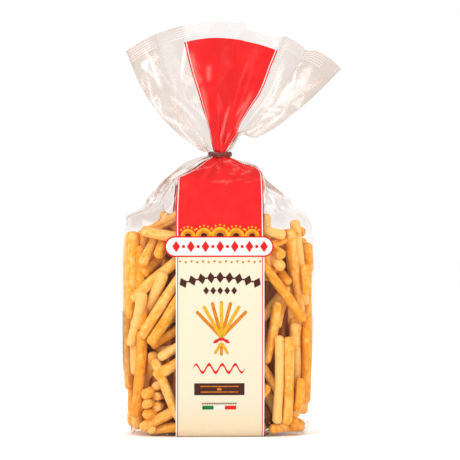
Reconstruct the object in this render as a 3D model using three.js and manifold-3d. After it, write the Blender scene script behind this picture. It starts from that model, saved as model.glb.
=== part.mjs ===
// A clear, gusseted bag of short breadsticks, gathered at the neck with a brown twist tie and standing on its
// block bottom. Millimetres, +Z up, origin in the middle of the base. The printed front faces -Y.
//
// The bag is one film, from its base to the sealed edge of the fan above the tie. It is modelled as one closed
// solid: a core with the form of the filled bag, set back behind the clear windows, with the breadsticks that
// lie against the film fused on at their true size.
import * as THREE from 'three';
import { LoftGeometry } from 'three/addons/geometries/LoftGeometry.js';
import { mergeVertices } from 'three/addons/utils/BufferGeometryUtils.js';
import Module from 'manifold-3d';

const wasm = await Module();
wasm.setup();
const { clamp, degToRad, lerp, seededRandom, smoothstep } = THREE.MathUtils;
const UP = new THREE.Vector3(0, 0, 1);

// The filled bag
const NECK_HEIGHT = 223; // middle of the tie
const NECK_SHIFT = 2; // the neck sits a little to the right of the middle
const SHOULDER_SLUMP = 4.5; // how far the left shoulder bulges out below the neck
const BAND_HALF = 36; // half the width of the printed band down the front, and of the one down the back
const WINDOW_INSET = 6.5; // how far the core lies behind the film in the clear windows
const WINDOW_TOP = 155; // above this the core comes out to the film again
const FILL_HEIGHT = 172; // the highest end of a breadstick

// From the base to the neck: height, half width, half depth, and how square the section is
const PROFILE = [
  [0, 67, 35, 3.6],
  [2, 70.5, 38.5, 3.8],
  [8, 73, 41, 4.2],
  [60, 76.4, 43.5, 4.4],
  [140, 76.8, 43.5, 4.4],
  [165, 74, 40.5, 4],
  [178, 66.5, 35, 3.4],
  [192, 53, 27, 2.9],
  [206, 39.5, 18.5, 2.5],
  [214, 30.5, 12.5, 2.3],
  [219, 16.5, 7.6, 2.2],
  [NECK_HEIGHT - 2, 8.6, 5.2, 2.1],
  [NECK_HEIGHT + 2, 7.2, 4.8, 2.1],
];
const NECK_TOP = NECK_HEIGHT + 2;
const BODY_ROWS = [0, 2, 8, 60, 110, WINDOW_TOP, 164, 171, 178, 186, 194, 202, 209, 215, 219, 221, NECK_TOP];

// Columns of the film from the middle of the front or back to the middle of a side, as shares of that quarter.
// Two of them stand close together where a printed band ends and a window begins.
const QUARTER_SHARES = [0, 0.11, 0.22, 0.32, 0.36, 0.45, 0.55, 0.65, 0.74, 0.83, 0.92, 1];

// The fan of gathered film above the tie. Its angles are from the vertical, and its rows go out from the neck.
const FAN_LENGTH = 104;
const FAN_ROWS = [5, 12, 22, 35, 50, 66, 82, 95, FAN_LENGTH];
const FAN_LEAN = 6.25;
const FAN_SPREAD = 49.5; // half of its opening angle at the sealed edge
const FAN_LEFT = { flare: 37, reach: 0.06 }; // wider spread near the neck, and longer film at the corner
const FAN_RIGHT = { flare: 19, reach: 0.13 };
const FAN_THICKNESS = 2.6;
const PLEATS = 3.5;
const PLEAT_HEIGHT = 4;

// Breadsticks
const STICK_RADIUS = 4.1;
const THINNEST = 0.9; // the thinnest and thickest breadstick, in shares of STICK_RADIUS
const THICKEST = 1.1;
const STICK_LENGTH = 70;
const FILM_GAP = 0.5; // between a breadstick and the film
const FRONT_SIDES = 6;
const OTHER_SIDES = 5;
const SEED = 4177;

// Bundles of breadsticks in the two front windows. x and z are the middle of a bundle's first stick, on the
// front of the bag. lean is the stick's angle from upright, to the right, and dive the angle at which it turns
// away from the film. Each further stick is moved by step. depth is how much further behind the film it lies.
const BUNDLES = [
  { x: -37, z: 158, lean: 98 }, // bar across the top of the left window
  { x: -44, z: 166, lean: 64, depth: 3, length: 40 },
  { x: -74, z: 136, lean: 3, count: 2, step: [7, 4] }, // upright along the left edge
  { x: -63, z: 140, lean: 4, dive: 24, count: 3, step: [7.8, 3], length: 22 }, // rounded ends below the bar
  { x: -56.5, z: 131, lean: -3, dive: 20, depth: 1.5, length: 22 },
  { x: -73, z: 112, lean: -7, count: 3, step: [6, 2], depth: 2.5 }, // upright behind the long diagonal
  { x: -48, z: 129, lean: 52 }, // the long diagonal
  { x: -58, z: 101, lean: 33, depth: 2.5 },
  { x: -45.5, z: 107, lean: 34, count: 2, step: [8, -5] },
  { x: -66, z: 93, lean: 18, count: 2, step: [5, -12], depth: 1, length: 46 },
  { x: -75, z: 78, lean: -1, count: 2, step: [5.5, -30], length: 60 },
  { x: -28, z: 98, lean: 59, count: 3, step: [4, -9] }, // three with their round ends in a row
  { x: -45, z: 67, lean: 84, depth: 2.5, length: 40 },
  { x: -24, z: 66, lean: 58, depth: 0.5 },
  { x: -63.5, z: 49, lean: 9, count: 2, step: [-6, -9] }, // the big upright pair at the lower left
  { x: -54.5, z: 50, lean: 37, depth: 1, length: 40 },
  { x: -40, z: 35, lean: -23, depth: 1, length: 58 },
  { x: -59, z: 34, dive: 86, count: 3, step: [0.5, -8.3] }, // ends that point straight out
  { x: -50.5, z: 40, dive: 88, count: 3, step: [0, -8.4], depth: 1 },
  { x: -42, z: 18, lean: 60, length: 48 },
  { x: -68, z: 10, dive: 60 },
  { x: 38, z: 146, lean: 2, depth: 3, length: 50 }, // right window, from the top down
  { x: 21, z: 167, lean: 105, length: 66 },
  { x: 63, z: 129, lean: -14, count: 2, step: [6, 8] }, // the long leaning pair
  { x: 74, z: 122, lean: 2, count: 2, step: [0, -62] },
  { x: 50, z: 145, lean: -50, dive: 20, count: 2, step: [0, -9], depth: 0.5, length: 20 },
  { x: 42, z: 141, lean: -40, dive: 30, count: 2, step: [0, -8.5], depth: 1, length: 24 },
  { x: 51.8, z: 118, lean: -39 }, // the long diagonal
  { x: 53, z: 124, lean: 15, dive: 30, depth: 1, length: 24 },
  { x: 50.5, z: 105, lean: 35, depth: 2.8, length: 46 },
  { x: 33, z: 92, lean: 40, depth: 1 },
  { x: 41, z: 82, lean: 12, depth: 1, length: 50 },
  { x: 47.5, z: 45, lean: -1, count: 2, step: [8.2, -1] }, // the four upright ones at the lower right
  { x: 61.5, z: 55, lean: -5, count: 2, step: [6.4, 4], depth: 0.5 },
  { x: 36, z: 52, lean: -32, count: 2, step: [0.5, -17], depth: 2.5 },
  { x: 63, z: 10, dive: 60 },
  { x: 50, z: 7, lean: 60, dive: 20, length: 24 },
];

// The windows of the sides and the back, as ranges of turn round the film (see quadrant), and the rows of
// breadsticks in them
const OTHER_WINDOWS = [[0.36, 0.82], [-0.82, -0.36]];
const OTHER_ROWS = [40, 86, 132];
const OTHER_SPACING = 12;
const OTHER_LEAN = 34;

// The tie
const TIE_GAP = 0.35; // between the neck and the ribbon
const RIBBON_HALF = 1.8;
const RIBBON = [[0, -1], [0.5, -1], [0.5, -0.35], [1.1, -0.18], [1.1, 0.18], [0.5, 0.35], [0.5, 1], [0, 1]];
const TAIL_LENGTH = 13;
const TAIL_TURNS = 2.5;
const TAIL_DROOP = 2.5;

const packFinish = new THREE.MeshStandardMaterial({ color: 0xe8a550, roughness: 0.45, metalness: 0 });
const tieFinish = new THREE.MeshStandardMaterial({ color: 0x6b2a20, roughness: 0.5, metalness: 0 });

seededRandom(SEED);
const between = (low, high) => lerp(low, high, seededRandom());

// Half width, half depth and squareness of the filled bag at a height, on a smooth curve through PROFILE
function sectionAt(height) {
  const last = PROFILE.length - 1;
  const i = clamp(PROFILE.filter((row) => row[0] <= height).length - 1, 0, last - 1);
  const row = (n) => PROFILE[clamp(n, 0, last)];
  const span = row(i + 1)[0] - row(i)[0];
  const t = (height - row(i)[0]) / span;
  const slope = (n, k) => {
    const rise = (a, b) => (row(b)[k] - row(a)[k]) / Math.max(row(b)[0] - row(a)[0], 1);
    const below = rise(n - 1, n);
    const above = rise(n, n + 1);
    return below * above > 0 ? (2 * below * above) / (below + above) : 0;
  };
  const [width, depth, square] = [1, 2, 3].map((k) => {
    const onRows = lerp(row(i)[k], row(i + 1)[k], t * t * (3 - 2 * t));
    return onRows + span * t * (1 - t) * ((1 - t) * slope(i, k) - t * slope(i + 1, k));
  });
  return { width, depth, square };
}

// A quarter of a section as a walk from the middle of the front to the middle of the side
function quarterOf({ width, depth, square }) {
  const steps = 48;
  const points = [];
  const walked = [0];
  for (let i = 0; i <= steps; i++) {
    const turn = (i / steps) * Math.PI / 2;
    const across = width * Math.sin(turn) ** (2 / square);
    const back = depth * Math.max(Math.cos(turn), 0) ** (2 / square);
    points.push(new THREE.Vector2(across, back));
    if (i > 0) walked.push(walked[i - 1] + points[i].distanceTo(points[i - 1]));
  }
  return { points, walked, length: walked[steps] };
}

function pointAlong({ points, walked }, distance) {
  const i = clamp(walked.findIndex((w) => w >= distance), 1, walked.length - 1);
  const t = clamp((distance - walked[i - 1]) / (walked[i] - walked[i - 1]), 0, 1);
  return points[i - 1].clone().lerp(points[i], t);
}

// The flat film from the middle of the front to the middle of a side
const QUARTER_FILM = quarterOf(sectionAt(110)).length;

// Where a share of the quarter's film comes to lie on a section that is shorter than the film: the middle of
// the front keeps its true width, and the rest is gathered towards the side
function gathered(share, length) {
  const even = 0.25;
  const power = Math.max((QUARTER_FILM / length - even) / (1 - even), 1);
  return length * lerp(1 - (1 - share) ** power, share, even);
}

// turn runs from -1 to 1 round the film: 0 is the middle of the front, 0.5 of the right side, and 1 of the back
function quadrant(turn) {
  const quarters = Math.abs(turn) * 2;
  const back = quarters > 1;
  return { share: back ? 2 - quarters : quarters, right: Math.sign(turn) || 1, back: back ? 1 : -1 };
}

// How far the core lies behind the film: nowhere behind the printed bands, at the base and above the windows
function windowInset(turn, height) {
  const clear = smoothstep(quadrant(turn).share * QUARTER_FILM, BAND_HALF, BAND_HALF + 4);
  const filled = smoothstep(height, 2, 10) * (1 - smoothstep(height, WINDOW_TOP, WINDOW_TOP + 25));
  return WINDOW_INSET * clear * filled;
}

// The middle of a section
function middleAt(height) {
  const slump = SHOULDER_SLUMP * smoothstep(height, 185, 203) * (1 - smoothstep(height, 203, 216));
  return NECK_SHIFT * smoothstep(height, 165, NECK_HEIGHT) - slump;
}

// Folds that run up the shoulders to the neck, as a share by which they draw the film in
function shoulderFold(turn, height) {
  const shoulder = smoothstep(height, 178, 205) * (1 - smoothstep(height, 206, NECK_HEIGHT - 4));
  const beside = smoothstep(quadrant(turn).share, 0.25, 0.5);
  return 0.05 * shoulder * beside * (1 - Math.cos(turn * Math.PI * 10));
}

function bodyPoint(turn, height, inset) {
  const { share, right, back } = quadrant(turn);
  const { width, depth, square } = sectionAt(height);
  const quarter = quarterOf({ width: width - inset, depth: depth - inset, square });
  const at = pointAlong(quarter, gathered(share, quarter.length));
  at.multiplyScalar(1 - shoulderFold(turn, height));
  return new THREE.Vector3(middleAt(height) + right * at.x, back * at.y, height);
}

// The pleats of the fan: low behind the printed band, and highest half way out
function pleat(across, radius) {
  const height = PLEAT_HEIGHT * lerp(0.45, 1, smoothstep(Math.abs(across), 0.3, 0.6));
  const grown = smoothstep(radius, 6, 60) * lerp(1, 0.7, smoothstep(radius, 70, FAN_LENGTH));
  return height * grown * Math.sin(across * Math.PI * PLEATS + 0.6);
}

// The two faces of the fan keep a little apart and wave together. They meet at its sealed edge.
function fanPoint(turn, radius) {
  const { share, right, back } = quadrant(turn);
  const neck = sectionAt(NECK_TOP);
  const quarter = quarterOf(neck);
  const at = pointAlong(quarter, gathered(share, quarter.length));
  const opened = smoothstep(radius, 0, 45);
  const across = right * lerp(at.x / neck.width, share, opened);
  const corner = across < 0 ? FAN_LEFT : FAN_RIGHT;
  const notch = across < 0 ? 1 : smoothstep(radius, 8, 36);
  const spread = FAN_SPREAD + corner.flare * notch * (1 - radius / FAN_LENGTH) ** 1.2;
  const angle = degToRad(FAN_LEAN * smoothstep(radius, 0, 20) + across * spread);
  const length = radius * (1 + corner.reach * across ** 2);
  const stem = neck.width * across * (1 - smoothstep(radius, 0, 30));
  const sealed = radius < FAN_LENGTH ? 1 : 0;
  const half = sealed * lerp(at.y, FAN_THICKNESS / 2 * (1 - across ** 4), opened);
  return new THREE.Vector3(
    NECK_SHIFT + stem + length * Math.sin(angle),
    back * half + pleat(across, radius),
    NECK_TOP + length * Math.cos(angle),
  );
}

// Once round the film, from the middle of the front through the right side and the back
function ring(pointOf) {
  const outward = QUARTER_SHARES.slice(0, -1);
  const homeward = QUARTER_SHARES.slice(1).reverse();
  const turns = [
    ...outward.map((share) => share / 2),
    ...homeward.map((share) => 1 - share / 2),
    ...outward.map((share) => share / 2 - 1),
    ...homeward.map((share) => -share / 2),
  ];
  return turns.map(pointOf);
}

function coreGeometry() {
  const body = BODY_ROWS.map((height) => ring((turn) => bodyPoint(turn, height, windowInset(turn, height))));
  const fan = FAN_ROWS.map((radius) => ring((turn) => fanPoint(turn, radius)));
  return new LoftGeometry([...body, ...fan], { capStart: true });
}

// A straight breadstick from one point to another, with blunt round ends
function stickGeometry(start, end, sides) {
  const radius = STICK_RADIUS * between(THINNEST, THICKEST);
  const length = start.distanceTo(end);
  const cap = 0.4 * radius;
  const stations = [[0, 0.6], [cap, 1], [length - cap, 1], [length, 0.6]];
  const sections = stations.map(([along, swell]) => Array.from({ length: sides }, (_, i) => {
    const around = (i / sides) * Math.PI * 2;
    return new THREE.Vector3(radius * swell * Math.cos(around), radius * swell * Math.sin(around), along);
  }));
  const axis = end.clone().sub(start).normalize();
  const turned = new THREE.Quaternion().setFromUnitVectors(UP, axis);
  const place = new THREE.Matrix4().makeRotationFromQuaternion(turned).setPosition(start);
  return new LoftGeometry(sections, { capStart: true, capEnd: true }).applyMatrix4(place);
}

// Moves a point straight towards the bag's upright axis until it lies a given distance behind the film
function intoBag(point, inset) {
  point.z = clamp(point.z, STICK_RADIUS * THICKEST + FILM_GAP, FILL_HEIGHT);
  const { width, depth, square } = sectionAt(point.z);
  const across = Math.abs(point.x) / (width - inset);
  const back = Math.abs(point.y) / (depth - inset);
  const pull = Math.max(across ** square + back ** square, 1) ** (-1 / square);
  return point.set(point.x * pull, point.y * pull, point.z);
}

// How far the end or side of a breadstick has to stay behind the film
function clearance(dive) {
  return STICK_RADIUS * THICKEST * Math.cos(degToRad(dive)) + FILM_GAP;
}

// A breadstick at a point just behind the film, turned to its lean and dive
function layStick(at, { lean, dive = 0, length, sides }) {
  const { width, depth, square } = sectionAt(at.z);
  const outwards = new THREE.Vector3(
    Math.sign(at.x) * (Math.abs(at.x) / width) ** (square - 1) / width,
    Math.sign(at.y) * (Math.abs(at.y) / depth) ** (square - 1) / depth,
    0,
  ).normalize();
  const inwards = Math.sin(degToRad(dive));
  const along = UP.clone().cross(outwards).multiplyScalar(Math.sin(degToRad(lean)));
  along.addScaledVector(UP, Math.cos(degToRad(lean))).multiplyScalar(Math.cos(degToRad(dive)));
  along.addScaledVector(outwards, -inwards);
  const middle = at.clone().addScaledVector(along, inwards * length / 2);
  const [start, end] = [-0.5, 0.5].map((share) =>
    intoBag(middle.clone().addScaledVector(along, share * length), clearance(dive)));
  return stickGeometry(start, end, sides);
}

// The point that lies at x and a height of the front, a given distance behind the film
function frontPoint(x, height, inset) {
  const { width, depth, square } = sectionAt(height);
  const across = clamp(x / (width - inset), -0.985, 0.985);
  const back = (depth - inset) * (1 - Math.abs(across) ** square) ** (1 / square);
  return new THREE.Vector3(across * (width - inset), -back, height);
}

function frontBundle({ x, z, lean = 0, dive = 0, depth = 0, count = 1, step = [0, 0], length = STICK_LENGTH }) {
  return Array.from({ length: count }, (_, i) => {
    const at = frontPoint(x + i * step[0], z + i * step[1], clearance(dive) + depth);
    return layStick(at, { lean, dive, length, sides: FRONT_SIDES });
  });
}

function otherRow([from, to], row) {
  const places = Math.round((to - from) * 2 * QUARTER_FILM / OTHER_SPACING);
  return Array.from({ length: places }, (_, i) => {
    const turn = lerp(from, to, (i + between(0.2, 0.8)) / places);
    const height = row + (i % 2 ? 9 : -9) + between(-5, 5);
    const at = bodyPoint(turn, height, clearance(0) + between(0, 1.5));
    const length = STICK_LENGTH * between(0.85, 1.05);
    return layStick(at, { lean: between(-OTHER_LEAN, OTHER_LEAN), length, sides: OTHER_SIDES });
  });
}

function sticks() {
  const others = OTHER_WINDOWS.flatMap((window) => OTHER_ROWS.flatMap((row) => otherRow(window, row)));
  return [...BUNDLES.flatMap(frontBundle), ...others];
}

// The band of the tie round the neck: a flat ribbon whose wire shows as a ridge along its middle
function tieBand() {
  const neck = sectionAt(NECK_HEIGHT);
  const halfWidth = neck.width + TIE_GAP + 0.9;
  const halfDepth = neck.depth + TIE_GAP + 0.6;
  const steps = 28;
  const sections = Array.from({ length: steps + 1 }, (_, i) => {
    const turn = -((i % steps) / steps) * Math.PI * 2;
    return RIBBON.map(([out, up]) => new THREE.Vector3(
      NECK_SHIFT + (halfWidth + out) * Math.cos(turn),
      (halfDepth + out) * Math.sin(turn),
      NECK_HEIGHT + up * RIBBON_HALF,
    ));
  });
  return new LoftGeometry(sections);
}

// The two ends of the tie, twisted round each other behind the neck
function tieTail() {
  const start = sectionAt(NECK_HEIGHT).depth + 1.2;
  const steps = 20;
  const sides = 8;
  const sections = Array.from({ length: steps + 1 }, (_, i) => {
    const along = i / steps;
    const twist = along * TAIL_TURNS * Math.PI * 2;
    const swell = i === 0 || i === steps ? 0.7 : 1;
    return Array.from({ length: sides }, (_, k) => {
      const around = -(k / sides) * Math.PI * 2;
      const wide = 1.7 * swell * Math.cos(around);
      const thin = 0.85 * swell * Math.sin(around);
      return new THREE.Vector3(
        NECK_SHIFT + wide * Math.cos(twist) - thin * Math.sin(twist),
        start + along * TAIL_LENGTH,
        NECK_HEIGHT + wide * Math.sin(twist) + thin * Math.cos(twist) - TAIL_DROOP * along ** 2,
      );
    });
  });
  return new LoftGeometry(sections, { capStart: true, capEnd: true });
}

function solidOf(geometry) {
  const plain = new THREE.BufferGeometry();
  plain.setAttribute('position', geometry.attributes.position);
  plain.setIndex(geometry.index);
  const merged = mergeVertices(plain, 1e-4);
  return new wasm.Manifold(new wasm.Mesh({
    numProp: 3,
    vertProperties: merged.attributes.position.array,
    triVerts: new Uint32Array(merged.index.array),
  }));
}

// The triangles of the outer shell alone, so that a hollow sealed between breadsticks is filled
function outerShell(triVerts, vertexCount) {
  const linked = Array.from({ length: vertexCount }, (_, i) => i);
  const shellOf = (i) => {
    while (linked[i] !== i) i = linked[i];
    return i;
  };
  for (let i = 0; i < triVerts.length; i++) {
    const next = i % 3 === 2 ? i - 2 : i + 1;
    linked[shellOf(triVerts[i])] = shellOf(triVerts[next]);
  }
  const shells = Array.from(triVerts, shellOf);
  const sizes = new Map();
  for (const shell of shells) sizes.set(shell, (sizes.get(shell) ?? 0) + 1);
  const largest = Math.max(...sizes.values());
  return triVerts.filter((_, i) => sizes.get(shells[i]) === largest);
}

// One mesh of closed geometries that are joined where they meet
function joinedMesh(name, geometries, material) {
  const { vertProperties, triVerts } = wasm.Manifold.union(geometries.map(solidOf)).getMesh();
  const shell = outerShell(triVerts, vertProperties.length / 3);
  const geometry = new THREE.BufferGeometry();
  geometry.setAttribute('position', new THREE.BufferAttribute(vertProperties, 3));
  geometry.setIndex(new THREE.BufferAttribute(shell, 1));
  geometry.computeVertexNormals();
  const mesh = new THREE.Mesh(geometry, material);
  mesh.name = name;
  return mesh;
}

const pack = new THREE.Group();
pack.add(joinedMesh('bag', [coreGeometry(), ...sticks()], packFinish));
pack.add(joinedMesh('tie', [tieBand(), tieTail()], tieFinish));

export default pack;
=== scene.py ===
"""A clear, gusseted bag of short breadsticks, gathered at the neck with a brown twist tie.

The bag is one film: a clear one with a printed band down the front and another down the back. It is worked
out as a grid of points over the flat film. On it, s runs round the bag from the middle of the front, and the
height runs from the base up to the sealed edge of the fan. Lengths are millimetres until a mesh is made.
"""
import math
from math import cos, pi, radians, sin

import bpy
import numpy as np
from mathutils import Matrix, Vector
from mathutils.geometry import delaunay_2d_cdt


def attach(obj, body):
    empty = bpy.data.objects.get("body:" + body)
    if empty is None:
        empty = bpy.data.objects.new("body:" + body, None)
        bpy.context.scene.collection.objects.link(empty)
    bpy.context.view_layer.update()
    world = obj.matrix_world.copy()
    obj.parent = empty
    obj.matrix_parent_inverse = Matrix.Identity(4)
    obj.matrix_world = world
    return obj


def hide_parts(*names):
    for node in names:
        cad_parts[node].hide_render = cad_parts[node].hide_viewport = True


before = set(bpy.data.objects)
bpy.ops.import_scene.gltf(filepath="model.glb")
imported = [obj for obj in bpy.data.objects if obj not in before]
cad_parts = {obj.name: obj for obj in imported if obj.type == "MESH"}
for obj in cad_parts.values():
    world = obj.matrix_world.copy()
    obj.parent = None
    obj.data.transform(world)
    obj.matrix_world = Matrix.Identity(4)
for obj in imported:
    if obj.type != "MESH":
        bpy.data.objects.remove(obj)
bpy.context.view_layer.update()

MM = 0.001
TURN = 2 * pi
SEED = 4177
FLAT_UNIT = 100  # millimetres of flat film to one unit of the UV map

# The filled bag, as in the frame
NECK_HEIGHT = 223
NECK_TOP = NECK_HEIGHT + 2
NECK_SHIFT = 2
SHOULDER_SLUMP = 4.5
BAND_HALF = 34.8
FILL_HEIGHT = 176  # the highest end of a breadstick against the front
OTHER_FILL = 163  # and elsewhere
FILM_GAP = 0.5

# From the base to the neck: height, half width, half depth, and how square the section is
PROFILE = np.array([
    (0, 67, 35, 3.6),
    (2, 70.5, 38.5, 3.8),
    (8, 73, 41, 4.2),
    (60, 76.4, 43.5, 4.4),
    (140, 76.8, 43.5, 4.4),
    (165, 74, 40.5, 4),
    (178, 66.5, 35, 3.4),
    (192, 53, 27, 2.9),
    (206, 39.5, 18.5, 2.5),
    (214, 30.5, 12.5, 2.3),
    (219, 16.5, 7.6, 2.2),
    (NECK_HEIGHT - 2, 8.6, 5.2, 2.1),
    (NECK_TOP, 7.2, 4.8, 2.1),
])

# Where the film's outline stands out over the topmost breadsticks on the left, and where it is drawn in above
# them on both sides: by how much, at what height, and over what height
LEFT_BULGE = (4, 173.5, 3)
SHOULDER_DENT = (-4.5, 181.5, 4.5)

# The fan of gathered film above the tie
FAN_LENGTH = 104
FAN_LEAN = 6.25
FAN_SPREAD = 49.5
LEFT_FLARE, RIGHT_FLARE = 37, 19
LEFT_REACH, RIGHT_REACH = 0.06, 0.13
FAN_THICKNESS = 2.6
FAN_WAVES = 3.5
FAN_WAVE_HEIGHT = 4
PRINT_TOP = 91  # where the printed bands end, from the neck
SEAL_START = 94  # the heat seal along the cut edge
RIB_PITCH = 1.7
# Steps of the cut edge on the right, where the folds shift it: share of the half fan, and how far it moves
CUT_EDGE = [(0, 0), (0.09, 1.3), (0.13, -4.3), (0.41, -4.7), (0.47, -0.4), (0.61, -1.3), (0.69, -3.3),
            (0.75, 0.7), (0.88, 1.6), (1, 0)]
# The printed band in the fan: distance from the neck, and the angles of its left and its right half
BAND_ANGLES = [(0, 31, 31), (16, 30.5, 33), (30, 28.5, 29.5), (41, 27.2, 28.8), (53, 26.2, 28.6),
               (78, 25, 24.6), (91, 24.3, 23.4), (FAN_LENGTH, 23, 22.6)]
# The printed band below the neck: height, and the most that its left and its right half take of a quarter of
# the section
BAND_ROOM = [(200, 0.8, 0.8), (204, 0.68, 0.74), (206.5, 0.59, 0.74), (209, 0.54, 0.77), (213, 0.46, 0.82),
             (216, 0.45, 0.57), (219, 0.54, 0.62), (222, 0.7, 0.75), (NECK_TOP, 0.45, 0.45)]
# The fan's clear wings run out to the bag's corner, and from there the side is folded in between front and
# back: the share of the wing's film before the corner, and the share of the wing where the side ends
FOLDS = {
    ("right", "front"): (0.56, 0.42),
    ("left", "front"): (0.53, 0.45),
    ("right", "back"): (0.53, 0.42),
    ("left", "back"): (0.55, 0.45),
}
# Near the neck the right wing is folded behind the print: its angle there, and where it opens
TUCKED_ANGLE = 38
TUCKED = (17, 27)

# Whitened creases and painted highlights, as straight lines on the flat film: how many, whether they lie on
# the printed band, at what heights, how far they lean from upright, how long they are, and how wide. On the
# clear film they are whitened creases with painted highlights along them, and on the printed band painted
# highlight streaks
CREASES_AND_HIGHLIGHTS = [
    (38, False, (238, 314), (-32, 32), (16, 70), 1.7),
    (16, False, (262, 314), (-90, 90), (8, 20), 1.5),
    (60, False, (176, 214), (-90, 90), (8, 30), 1.3),
    (30, True, (200, 219), (60, 120), (5, 20), 0.9),
    (9, True, (238, 305), (-22, 22), (14, 44), 3.6),
]

# The crumpled film: the sizes of its facets and patches, and how many pleats there are
BROAD_FACET, FINE_FACET, HIGHLIGHT_FACET = 29, 12, 14
PATCH = 30
SHOULDER_PLEATS = 40
FAN_PLEATS = 30
LOOSE_FROM = (158, 172)  # where the film comes off the breadsticks
RIB_HEIGHT = 0.2

# The grid over the film
COLUMN = 1.6
ROW = 1.6
RIB_ROW = 0.42

# A breadstick, and how far apart the axes of two are wanted: in the windows, all round and on top
STICK_RADIUS = 4.1
STICK_LENGTH = 70
THICKEST = STICK_RADIUS * 1.1
FRONT_ROOM = 1.8 * STICK_RADIUS
AROUND_ROOM = 1.88 * STICK_RADIUS
TOP_ROOM = 1.85 * STICK_RADIUS


def bundle(x, z, lean=0, dive=0, length=STICK_LENGTH, depth=0, count=1, step=(0, 0)):
    """Breadsticks side by side in a front window, each as its depth, x, z, lean, dive and length.

    x and z are the middle of the first, on the front of the bag. lean is the angle from upright, to the right,
    and dive the angle at which it turns away from the film. depth is how much further behind the film it lies.
    """
    return [(depth, x + i * step[0], z + i * step[1], lean, dive, length) for i in range(count)]


LEFT_WINDOW = [
    bundle(-37, 158, 98),
    bundle(-45, 168, 64, depth=2, length=36),
    bundle(-34, 167, 128, depth=3, length=34),
    bundle(-74, 127, 2, count=2, step=(8, 1)),
    bundle(-63, 140, 4, dive=50, length=50, count=3, step=(7.8, 3)),
    bundle(-56.5, 131, -3, dive=50, length=50, depth=1.5),
    bundle(-73, 112, -7, depth=2.5, count=3, step=(6, 2)),
    bundle(-48, 129, 52),
    bundle(-58, 101, 33, depth=2.5),
    bundle(-45.5, 107, 34, count=2, step=(8, -5)),
    bundle(-66, 93, 18, length=46, depth=1, count=2, step=(5, -12)),
    bundle(-75, 78, -1, length=60, count=2, step=(5.5, -30)),
    bundle(-28, 98, 59, count=3, step=(4, -9)),
    bundle(-45, 67, 84, length=40, depth=2.5),
    bundle(-24, 66, 58, depth=0.5),
    bundle(-63.5, 49, 9, count=2, step=(-6, -9)),
    bundle(-54.5, 50, 37, length=40, depth=1),
    bundle(-40, 35, -23, length=58, depth=1),
    bundle(-59, 34, dive=86, count=3, step=(0.5, -8.3)),
    bundle(-50.5, 40, dive=88, depth=1, count=3, step=(0, -8.4)),
    bundle(-59, 5.5, 90, length=38),
    bundle(-42, 18, 60, length=48),
    bundle(-70, 14, 20, length=26, depth=2),
    bundle(-40, 5.5, 86, length=34, depth=0.5),
]
RIGHT_WINDOW = [
    bundle(38, 150, 1, length=54, depth=3),
    bundle(21, 167, 105, length=66),
    bundle(61.5, 130, -14, count=2, step=(6.5, 7)),
    bundle(46, 153, 70, length=40, depth=6),
    bundle(59, 92, -10, length=56, depth=5),
    bundle(74, 122, 2, count=2, step=(0, -62)),
    bundle(50, 145, -50, dive=45, length=45, depth=0.5, count=2, step=(0, -9)),
    bundle(42, 141, -40, dive=50, length=45, depth=1, count=2, step=(0, -8.5)),
    bundle(51.8, 118, -39),
    bundle(53, 124, 15, dive=50, length=45, depth=1),
    bundle(50.5, 105, 35, length=46, depth=2.8),
    bundle(33, 92, 40, depth=1),
    bundle(41, 82, 12, length=50, depth=1),
    bundle(47.5, 45, -1, count=2, step=(8.2, -1)),
    bundle(61.5, 55, -5, depth=0.5, count=2, step=(6.4, 4)),
    bundle(36, 52, -32, depth=2.5, count=2, step=(0.5, -17)),
    bundle(63, 10, dive=60),
    bundle(60, 6, 88, length=36),
    bundle(61, 14, 72, length=44, depth=4),
]

# Breadsticks against the two sides: which side, the height of the middle, and the lean
SIDE_STICKS = [(-1, 126, 2), (-1, 70, -4), (1, 118, 3), (1, 50, -3)]
# How many depths, 1 mm apart, are tried for each breadstick of a window
DEPTHS_TRIED = 14

# Rounds of laying the other breadsticks: depth behind the film, tries, and the shares of a whole length
WHOLE, BROKEN = (0.72, 1.05), (0.25, 0.5)
ROUNDS = [(0, 3000, WHOLE), (0, 1500, BROKEN), (2.5, 1000, WHOLE), (4.5, 1000, BROKEN), (6.5, 1500, WHOLE),
          (8.4, 1500, WHOLE), (8.4, 1000, BROKEN), (12, 1000, WHOLE), (15, 1000, WHOLE)]
HEAP_TRIES = 2400
HEAP_HEIGHTS = (144, 164)
CRUMBS = 150

# The core inside the heap: height, and how far it stays behind the film there
CORE = [(6, 26), (8, 22), (14, 20), (30, 18), (60, 18), (90, 18), (120, 18), (138, 20), (146, 24), (149, 30)]
CORE_AROUND = 64

# The camera: a long lens at the height of the middle of the bag
VIEW_AZIMUTH = -3
VIEW_ELEVATION = 0.8
VIEW_CENTRE = (10.0, 0, 162.6)
VIEW_WIDTH = 368
LENS = 220
SENSOR = 36

# The lights: name, place, size and power, and the point that they face, in metres
LIGHTS = [
    ("key", (-0.7, -0.9, 1.1), 0.42, 7),
    ("low", (-0.75, -0.85, 0.4), 0.22, 1.3),
    ("fill", (0.9, -0.8, 0.5), 0.5, 2.4),
    ("rim", (0.3, 0.9, 1.0), 0.5, 4),
]
LIT_POINT = (0, 0, 0.15)


# Small helpers

def smooth(value, low, high):
    t = np.clip((np.asarray(value, float) - low) / (high - low), 0, 1)
    return t * t * (3 - 2 * t)


def within(value, low, full, less, high):
    """1 from full to less, falling smoothly to 0 at low and at high."""
    return smooth(value, low, full) * (1 - smooth(value, less, high))


def blend(a, b, share):
    return a + (b - a) * share


def bell(value, size, middle, width):
    return size * math.exp(-((value - middle) / width) ** 2)


def tent(distance, width):
    """1 at no distance, falling evenly to 0 at a given width."""
    return np.maximum(1 - distance / width, 0)


def joined(*parts):
    """Numbers of the same places side by side, such as the x, y and z of points."""
    return np.stack(np.broadcast_arrays(*parts), axis=-1)


def linear(*display):
    """A display colour of 0 to 255 as the linear colour that a shader takes."""
    share = [value / 255 for value in display]
    return (*[v / 12.92 if v <= 0.04045 else ((v + 0.055) / 1.055) ** 2.4 for v in share], 1)


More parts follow.
